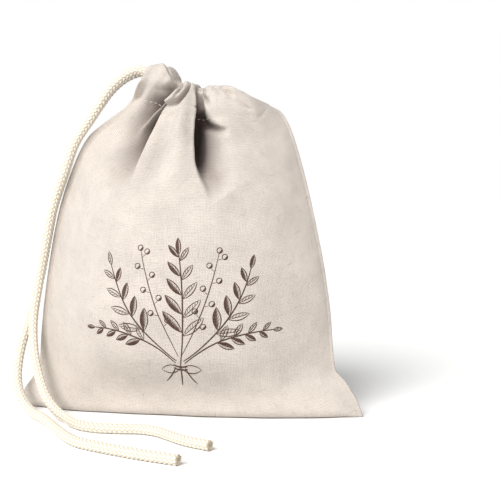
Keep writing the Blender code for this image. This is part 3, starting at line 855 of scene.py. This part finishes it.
def on_front(points):
    """Points of the drawing laid just above the front panel, and their places on the flat cloth."""
    rows = front_face[0]
    lifted = rows + normals_of(rows, -1) * INK_LIFT
    u, v = points[:, 0] + PRINT_CENTRE[0], points[:, 1] + PRINT_CENTRE[1]
    column = (u / FLAT_WIDTH + 0.5) * (COLUMNS - 1)
    row = np.interp(v, FLAT_ROWS, np.arange(len(FLAT_ROWS)))
    i, j = np.floor(row).astype(int), np.floor(column).astype(int)
    a, b = (row - i)[:, None], (column - j)[:, None]
    low = lifted[i, j] * (1.0 - b) + lifted[i, j + 1] * b
    high = lifted[i + 1, j] * (1.0 - b) + lifted[i + 1, j + 1] * b
    return (low * (1.0 - a) + high * a + (CENTRE_X, 0.0, 0.0)) * MM, np.stack([u, v], axis=-1) * MM


print("the print's middle lies at", np.round(on_front(np.zeros((1, 2)))[0][0], 3))

# %% Pen strokes
def bow(start, end, bulge, share=1.0):
    """Points every 1.5 mm along a curve from start to end, or a share of it, that bulges to its left."""
    start, end = np.array(start, float), np.array(end, float)
    across = np.array([start[1] - end[1], end[0] - start[0]])
    middle = (start + end) / 2.0 + across / max(np.linalg.norm(across), 1e-9) * 2.0 * bulge
    t = np.linspace(0.0, share, max(4, int(share * np.linalg.norm(end - start) / 1.5) + 2))[:, None]
    return (1.0 - t) ** 2 * start + 2.0 * t * (1.0 - t) * middle + t**2 * end


def between(one, other):
    """Faces that fill the space between two lines with the same number of points."""
    return [np.array([one[k], one[k + 1], other[k + 1], other[k]]) for k in range(len(one) - 1)]


def stroke(line, width, blunt=0.3):
    """A pen stroke: a ribbon along a line that is thinner at its two ends."""
    ahead = np.gradient(line, axis=0)
    ahead /= np.maximum(np.linalg.norm(ahead, axis=1), 1e-9)[:, None]
    left = np.stack([-ahead[:, 1], ahead[:, 0]], axis=-1)
    swell = blunt + (1.0 - blunt) * np.sin(math.pi * np.linspace(0.0, 1.0, len(line))) ** 0.7
    half = (width * swell / 2.0)[:, None]
    return between(line + left * half, line - left * half)


print("faces in a 30 mm stroke:", len(stroke(bow((0, 0), (30, 0), 4), 0.9)))

# %% Leaves, berries and stems
def leaf(base, tip, wide, filled):
    """A leaf with a midrib: its left half is solid ink or hatched, its right half is open."""
    rib, left, right = bow(base, tip, 0.0), bow(base, tip, wide), bow(base, tip, -wide)
    faces = stroke(left, 0.75) + stroke(right, 0.95) + stroke(bow(base, tip, 0.0, 0.88), 0.7)
    if filled:
        inner = rib + (left - rib) * 0.16
        middle = (inner + left) / 2.0
        faces += between(left, middle) + between(middle, inner)
    for k in range(2, len(rib) - 2, 1 if filled else 2):
        edge = right if filled else left
        reach = 0.55 if k % 2 else 0.8
        start, end = rib[k], rib[min(k + 1, len(rib) - 1)] + (edge[min(k + 1, len(rib) - 1)] - rib[k]) * reach
        faces += stroke(bow(start, end, 0.2), 0.42)
    return faces


def berry(middle, radius):
    """A round berry: an outline, and a crescent of solid ink on its lower right."""
    turn = np.linspace(0.0, 2.0 * math.pi, 19)
    ring = np.array(middle) + radius * np.stack([np.cos(turn), np.sin(turn)], axis=-1)
    shade = np.linspace(-2.3, 0.8, 10)
    outer = np.array(middle) + radius * np.stack([np.cos(shade), np.sin(shade)], axis=-1)
    bite = np.sin(np.linspace(0.0, math.pi, 10))[:, None] * radius * 0.75
    inner = outer - np.stack([np.cos(shade), np.sin(shade)], axis=-1) * bite
    return stroke(ring, 0.7, blunt=1.0) + between(outer, inner)


def leafy_stem(stem, first, gap, size, wide, filled):
    """A stem with pairs of leaves that get smaller towards its tip, and one leaf at its end."""
    ahead = np.gradient(stem, axis=0)
    ahead /= np.linalg.norm(ahead, axis=1)[:, None]
    faces = stroke(stem, 1.3, blunt=0.6)
    places = np.arange(first, 0.97, gap)
    for share in places:
        k = int(share * (len(stem) - 1))
        length = size * (1.0 - 0.45 * (share - first) / (1.0 - first))
        for way in (-1.0, 1.0):
            angle = way * math.radians(48.0 - 10.0 * share)
            turned = np.array([
                ahead[k, 0] * math.cos(angle) - ahead[k, 1] * math.sin(angle),
                ahead[k, 0] * math.sin(angle) + ahead[k, 1] * math.cos(angle),
            ])
            base = stem[k] + turned * 0.8 + ahead[k] * (1.5 * way)
            faces += leaf(base, base + turned * length, wide * length / size,
                filled if way > 0 else not filled)
    return faces + leaf(stem[-1], stem[-1] + ahead[-1] * size * 0.6, wide * 0.6, filled)


def berry_stem(stem, step, radius):
    """A thin stem with berries on short stalks, one side and then the other."""
    faces = stroke(stem, 0.9, blunt=0.5)
    ahead = np.gradient(stem, axis=0)
    ahead /= np.linalg.norm(ahead, axis=1)[:, None]
    for count, k in enumerate(range(19, len(stem), step)):
        way = 1.0 if count % 2 else -1.0
        out = np.array([-ahead[k, 1], ahead[k, 0]]) * way + ahead[k] * 0.7
        end = stem[k] + out / np.linalg.norm(out) * (4.5 + radius)
        faces += stroke(bow(stem[k], end, 0.6 * way, 0.62), 0.5) + berry(end, radius)
    return faces + berry(stem[-1] + ahead[-1] * radius, radius)


print("faces in one leaf:", len(leaf((0, 0), (22, 0), 4.5, True)))

# %% Draw the bunch
INK_STROKES = (
    leafy_stem(bow((0, -56), (2, 44), -3), 0.30, 0.165, 24, 3.6, True)
    + leafy_stem(bow((-3, -50), (-62, 30), 8), 0.38, 0.165, 21, 3.4, False)
    + leafy_stem(bow((3, -50), (64, 28), -8), 0.38, 0.165, 21, 3.4, True)
    + berry_stem(bow((-1, -46), (-33, 46), 3), 7, 2.4)
    + berry_stem(bow((1, -46), (37, 44), -3), 7, 2.4)
    + leafy_stem(bow((-4, -52), (-78, -27), -9), 0.42, 0.155, 15, 2.6, True)
    + leafy_stem(bow((4, -52), (80, -29), 9), 0.42, 0.155, 15, 2.6, False)
    + stroke(bow((-4, -56), (-15, -72), 1), 1.2) + stroke(bow((4, -56), (13, -73), -1), 1.2)
    + stroke(bow((0, -56), (-1, -75), 0.5), 1.3)
    + stroke(bow((-6, -54), (6, -55), -1.2), 1.5, 0.8) + stroke(bow((-6, -57), (6, -58), -1.2), 1.5, 0.8)
    + stroke(bow((0, -56), (-17, -60), 4.5), 1.0) + stroke(bow((-17, -60), (0, -57), 4.0), 0.8)
    + stroke(bow((0, -56), (18, -59), -4.5), 1.0) + stroke(bow((18, -59), (0, -57), -4.0), 0.8)
)


def printed_piece(name, faces):
    """One mesh of all the strokes, laid on the front panel."""
    flat_points = np.concatenate(faces)
    places, cloth_places = on_front(flat_points)
    build = bmesh.new()
    uv = build.loops.layers.uv.new("cloth")
    for k in range(0, len(flat_points), 4):
        corners = [build.verts.new(place) for place in places[k:k + 4]]
        face = build.faces.new(corners)
        for loop, place in zip(face.loops, cloth_places[k:k + 4]):
            loop[uv].uv = place
        face.normal_update()
        if face.normal.y > 0.0:
            face.normal_flip()
    bmesh.ops.remove_doubles(build, verts=build.verts, dist=0.00001)
    ink = finished_mesh(name, build)
    print(name, "faces:", len(ink.data.polygons))
    return ink


front_print = printed_piece("printed_leaves", INK_STROKES)

# %% Tell the frame about the panels
for panel, node, on_it in (
    (front, "front_panel", [front_stitches, front_print]),
    (back, "back_panel", [back_stitches]),
):
    for piece in [panel] + on_it:
        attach(piece, "root")
    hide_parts(node)

# %% [markdown]
# Making materials
# Colours are picked as hex values from a screen, which shows them brighter than the light they stand for,
# so one function turns them to the linear values that the renderer needs. A second one adds a node, sets it
# up and links it.

# %% Colours and nodes
def linear(hex_colour):
    """A hex colour as linear red, green, blue and alpha."""
    parts = [int(hex_colour[i:i + 2], 16) / 255.0 for i in (1, 3, 5)]
    return tuple(p / 12.92 if p <= 0.04045 else ((p + 0.055) / 1.055) ** 2.4 for p in parts) + (1.0,)


def add_node(tree, kind, sockets=None, **settings):
    """Add a node, give it its settings, and fill its sockets with values or with links."""
    node = tree.nodes.new(kind)
    for name, value in settings.items():
        setattr(node, name, value)
    for name, value in (sockets or {}).items():
        if isinstance(value, bpy.types.NodeSocket):
            tree.links.new(value, node.inputs[name])
        else:
            node.inputs[name].default_value = value
    return node


def new_material(name):
    """A material with only its output and its main shader."""
    material = bpy.data.materials.new(name)
    material.use_nodes = True
    return material, material.node_tree, material.node_tree.nodes["Principled BSDF"]


print("natural linen is", [round(value, 3) for value in linear("#D2C9C0")[:3]], "in linear light")

# %% [markdown]
# Linen
# Linen is a plain weave of flax yarn, which is never even: some lengths are thick, some thin, and a few
# threads are darker. Close up it shows as a fine grid with longer streaks both ways. The threads are drawn
# from the cloth's own UV map: a sine across each thread gives it its round back, a checker says which one
# lies on top, and stretched noise gives the thick lengths. Real threads lie about 0.8 mm apart, which is
# finer than a pixel here, so they are drawn 1.3 mm apart. Light that falls deep into a fold bounces between
# two walls of cloth and comes out darker and browner. That shade is painted: the attribute that the troughs
# left on the mesh darkens the cloth's colour there to a dark brown.

# %% Linen material
THREAD = 1.3 * MM
LINEN_LIGHT, LINEN_DARK, LINEN_SLUB, LINEN_PAINTED_SHADE = "#D2C9C0", "#A2958A", "#8C7C6E", "#361B0D"
WEAVE_BUMP = 0.6 * MM            # how high the bump of the threads stands


def weave(tree):
    """Height of the weave, 0 to 1, and a slow variation of its tone, from the cloth's UV map."""
    place = add_node(tree, "ShaderNodeUVMap", uv_map="cloth").outputs["UV"]
    wander = add_node(tree, "ShaderNodeTexNoise", {"Vector": place, "Scale": 160.0, "Detail": 2.0})
    centred = add_node(tree, "ShaderNodeVectorMath", {0: wander.outputs["Color"], 1: (0.5, 0.5, 0.5)},
                       operation="SUBTRACT")
    moved = add_node(tree, "ShaderNodeVectorMath", {0: centred.outputs[0], "Scale": 0.0024},
        operation="SCALE")
    threads = add_node(tree, "ShaderNodeVectorMath", {0: place, 1: moved.outputs[0]}, operation="ADD")
    counted = add_node(tree, "ShaderNodeMapping", {"Vector": threads.outputs[0],
                                                   "Scale": (1.0 / THREAD, 1.0 / THREAD, 1.0)})
    apart = add_node(tree, "ShaderNodeSeparateXYZ", {0: counted.outputs[0]})
    backs = []
    for axis in ("X", "Y"):
        turned = add_node(tree, "ShaderNodeMath", {0: apart.outputs[axis], 1: math.pi}, operation="MULTIPLY")
        wave = add_node(tree, "ShaderNodeMath", {0: turned.outputs[0]}, operation="SINE")
        backs.append(add_node(tree, "ShaderNodeMath", {0: wave.outputs[0]}, operation="ABSOLUTE").outputs[0])
    on_top = add_node(tree, "ShaderNodeTexChecker", {"Vector": counted.outputs[0], "Scale": 1.0})
    grid = add_node(tree, "ShaderNodeMix", {"Factor": on_top.outputs["Fac"], "A": backs[0], "B": backs[1]})
    streaks = []
    for scale in ((430.0, 60.0, 1.0), (60.0, 430.0, 1.0)):
        stretched = add_node(tree, "ShaderNodeMapping", {"Vector": place, "Scale": scale})
        noise = add_node(tree, "ShaderNodeTexNoise", {"Vector": stretched.outputs[0], "Scale": 1.0,
            "Detail": 4.0,
                                                      "Roughness": 0.65})
        streaks.append(noise.outputs["Fac"])
    both = add_node(tree, "ShaderNodeMath", {0: streaks[0], 1: streaks[1]}, operation="MAXIMUM")
    height = add_node(tree, "ShaderNodeMix", {"Factor": 0.55, "A": grid.outputs[0], "B": both.outputs[0]})
    slow = add_node(tree, "ShaderNodeTexNoise", {"Vector": place, "Scale": 28.0, "Detail": 6.0,
        "Roughness": 0.7})
    return height.outputs[0], both.outputs[0], slow.outputs["Fac"]


def linen_material():
    """Natural undyed linen: matt, pale, a little uneven in tone, with painted brown shade deep in its folds."""
    material, tree, shader = new_material("plain_weave_linen")
    height, streak, slow = weave(tree)
    tone = add_node(tree, "ShaderNodeValToRGB", {"Fac": height})
    tone.color_ramp.elements[0].position, tone.color_ramp.elements[0].color = 0.25, linear(LINEN_DARK)
    tone.color_ramp.elements[1].position, tone.color_ramp.elements[1].color = 0.72, linear(LINEN_LIGHT)
    slubs = add_node(tree, "ShaderNodeMapRange", {"Value": streak, "From Min": 0.58, "From Max": 0.76,
                                                  "To Min": 0.0, "To Max": 0.6})
    mottled = add_node(tree, "ShaderNodeMix", {"Factor": slubs.outputs[0], "A": tone.outputs["Color"],
                                               "B": linear(LINEN_SLUB)}, data_type="RGBA")
    shade = add_node(tree, "ShaderNodeMapRange", {"Value": slow, "From Min": 0.3, "From Max": 0.7,
                                                  "To Min": 0.88, "To Max": 1.10})
    uneven_tone = add_node(tree, "ShaderNodeVectorMath", {0: mottled.outputs[2], "Scale": shade.outputs[0]},
                           operation="SCALE")
    # Painted shade: the fold attribute mixes the colour towards dark brown deep in the troughs.
    fold = add_node(tree, "ShaderNodeAttribute", attribute_name="fold")
    deep = add_node(tree, "ShaderNodeMapRange", {"Value": fold.outputs["Fac"], "To Min": 0.0, "To Max": 0.92})
    final = add_node(tree, "ShaderNodeMix", {"Factor": deep.outputs[0], "A": uneven_tone.outputs[0],
                                             "B": linear(LINEN_PAINTED_SHADE)}, data_type="RGBA")
    tree.links.new(final.outputs[2], shader.inputs["Base Color"])
    bump = add_node(tree, "ShaderNodeBump", {"Height": height, "Strength": 0.55, "Distance": WEAVE_BUMP})
    tree.links.new(bump.outputs[0], shader.inputs["Normal"])
    shader.inputs["Roughness"].default_value = 0.92
    shader.inputs["Sheen Weight"].default_value = 0.15
    shader.inputs["Sheen Roughness"].default_value = 0.6
    return material


linen = linen_material()
for panel in (front, back):
    panel.data.materials.append(linen)
print("threads every", THREAD * 1000, "mm")

# %% [markdown]
# Sewing thread and ink
# The heading is sewn with polyester thread of the linen's own colour, which is smoother than the cloth and
# shines a little. The ink is a water-based screen ink: it soaks in, so it is as matt as the linen and takes
# its weave. It sits on the tops of the threads and wears off there, which leaves small paler flecks.

# %% Thread and ink materials
THREAD_COLOUR, INK_DARK, INK_WORN = "#D9CFC2", "#33190F", "#7B6353"


def thread_material():
    """Polyester sewing thread: two plies that turn round each other, with a faint sheen."""
    material, tree, shader = new_material("polyester_thread")
    place = add_node(tree, "ShaderNodeTexCoord").outputs["Object"]
    plies = add_node(tree, "ShaderNodeTexNoise", {"Vector": place, "Scale": 1400.0, "Detail": 2.0})
    tone = add_node(tree, "ShaderNodeMapRange", {"Value": plies.outputs["Fac"], "To Min": 0.8,
        "To Max": 1.08})
    colour = add_node(tree, "ShaderNodeVectorMath", {0: linear(THREAD_COLOUR)[:3], "Scale": tone.outputs[0]},
                      operation="SCALE")
    tree.links.new(colour.outputs[0], shader.inputs["Base Color"])
    shader.inputs["Roughness"].default_value = 0.6
    return material


def ink_material():
    """Screen ink in the cloth: dark brown and matt, with the weave's bump and worn flecks on the threads."""
    material, tree, shader = new_material("screen_ink")
    height = weave(tree)[0]
    worn = add_node(tree, "ShaderNodeMapRange", {"Value": height, "From Min": 0.58, "From Max": 0.80,
                                                 "To Min": 0.0, "To Max": 0.75})
    colour = add_node(tree, "ShaderNodeMix", {"Factor": worn.outputs[0], "A": linear(INK_DARK),
                                              "B": linear(INK_WORN)}, data_type="RGBA")
    tree.links.new(colour.outputs[2], shader.inputs["Base Color"])
    bump = add_node(tree, "ShaderNodeBump", {"Height": height, "Strength": 0.5, "Distance": WEAVE_BUMP})
    tree.links.new(bump.outputs[0], shader.inputs["Normal"])
    shader.inputs["Roughness"].default_value = 0.85
    return material


sewing_thread, screen_ink = thread_material(), ink_material()
for line in (front_stitches, back_stitches):
    line.data.materials.clear()
    line.data.materials.append(sewing_thread)
front_print.data.materials.append(screen_ink)
print("ink:", INK_DARK, "worn to", INK_WORN)

# %% [markdown]
# Cotton cord
# The cord is bleached cotton, warmer and paler than the linen and quite matt. Each strand is a bundle of
# soft yarns. The grooves between the strands lie in shade, and that shade is painted: the tops of the strands
# are coloured bright and the grooves a little darker and yellower. The attribute that the braid left on the
# mesh says which is which, and fine noise stands for the yarns.

# %% Cord material
CORD_LIGHT, CORD_GROOVE_SHADE = "#EBE4D7", "#BBAB8F"


def cotton_material():
    """Braided cotton: matt and cream, with painted shade darker in its grooves."""
    material, tree, shader = new_material("braided_cotton")
    strand = add_node(tree, "ShaderNodeAttribute", attribute_name="strand")
    place = add_node(tree, "ShaderNodeTexCoord").outputs["Object"]
    yarn = add_node(tree, "ShaderNodeTexNoise", {"Vector": place, "Scale": 900.0, "Detail": 3.0})
    # Painted shade: the braid's grooves are coloured darker and yellower than the strands' tops.
    tone = add_node(tree, "ShaderNodeValToRGB", {"Fac": strand.outputs["Fac"]})
    tone.color_ramp.elements[0].position, tone.color_ramp.elements[0].color = 0.15, linear(CORD_GROOVE_SHADE)
    tone.color_ramp.elements[1].position, tone.color_ramp.elements[1].color = 0.75, linear(CORD_LIGHT)
    shade = add_node(tree, "ShaderNodeMapRange", {"Value": yarn.outputs["Fac"], "To Min": 0.86,
        "To Max": 1.08})
    final = add_node(tree, "ShaderNodeVectorMath", {0: tone.outputs["Color"], "Scale": shade.outputs[0]},
                     operation="SCALE")
    tree.links.new(final.outputs[0], shader.inputs["Base Color"])
    bump = add_node(tree, "ShaderNodeBump", {"Height": yarn.outputs["Fac"], "Strength": 0.5,
        "Distance": 0.0004})
    tree.links.new(bump.outputs[0], shader.inputs["Normal"])
    shader.inputs["Roughness"].default_value = 0.88
    shader.inputs["Sheen Weight"].default_value = 0.2
    return material


cotton = cotton_material()
for piece in (front_tail, back_tail, heading_cord, front_fray, back_fray):
    piece.data.materials.clear()
    piece.data.materials.append(cotton)
print("cord colours:", CORD_LIGHT, "and", CORD_GROOVE_SHADE)

# %% [markdown]
# Table and light
# The photograph is a bright studio picture: a white table, a white room and one big soft light, high in
# front and a little to the left. The floor is a plain plane that the light almost burns out. The world
# lights everything evenly, so that only the deep folds go dark, and the large lamp gives the folds their
# direction.

# %% Floor, lamps and world
ROOM_LIGHT = 0.42
bpy.ops.mesh.primitive_plane_add(size=12.0, location=(0.0, 0.0, -0.0001))
floor = bpy.context.object
floor.name = "table"
floor_paint, floor_tree, floor_shader = new_material("white_table")
floor_shader.inputs["Base Color"].default_value = linear("#F7F7F6")
floor_shader.inputs["Roughness"].default_value = 0.6
floor.data.materials.append(floor_paint)


def soft_sun(name, source, spread, strength):
    """A lamp far away, seen as a disc of some degrees, which lights the whole table alike."""
    aim = -Vector(source)
    bpy.ops.object.light_add(type="SUN", location=source, rotation=aim.to_track_quat("-Z", "Y").to_euler())
    lamp = bpy.context.object
    lamp.name = name
    lamp.data.angle = math.radians(spread)
    lamp.data.energy = strength
    return lamp


soft_sun("key_lamp", (-0.52, -1.42, 1.38), 32.0, 3.9)
world = bpy.data.worlds.new("white_room")
bpy.context.scene.world = world
world.use_nodes = True
sky = world.node_tree.nodes["Background"]
sky.inputs["Color"].default_value = (1.0, 1.0, 1.0, 1.0)
seen = add_node(world.node_tree, "ShaderNodeLightPath").outputs["Is Camera Ray"]
level = add_node(world.node_tree, "ShaderNodeMapRange", {"Value": seen, "To Min": ROOM_LIGHT, "To Max": 1.0})
world.node_tree.links.new(level.outputs[0], sky.inputs["Strength"])
bpy.context.scene.view_settings.view_transform = "Standard"
print("room light:", ROOM_LIGHT)
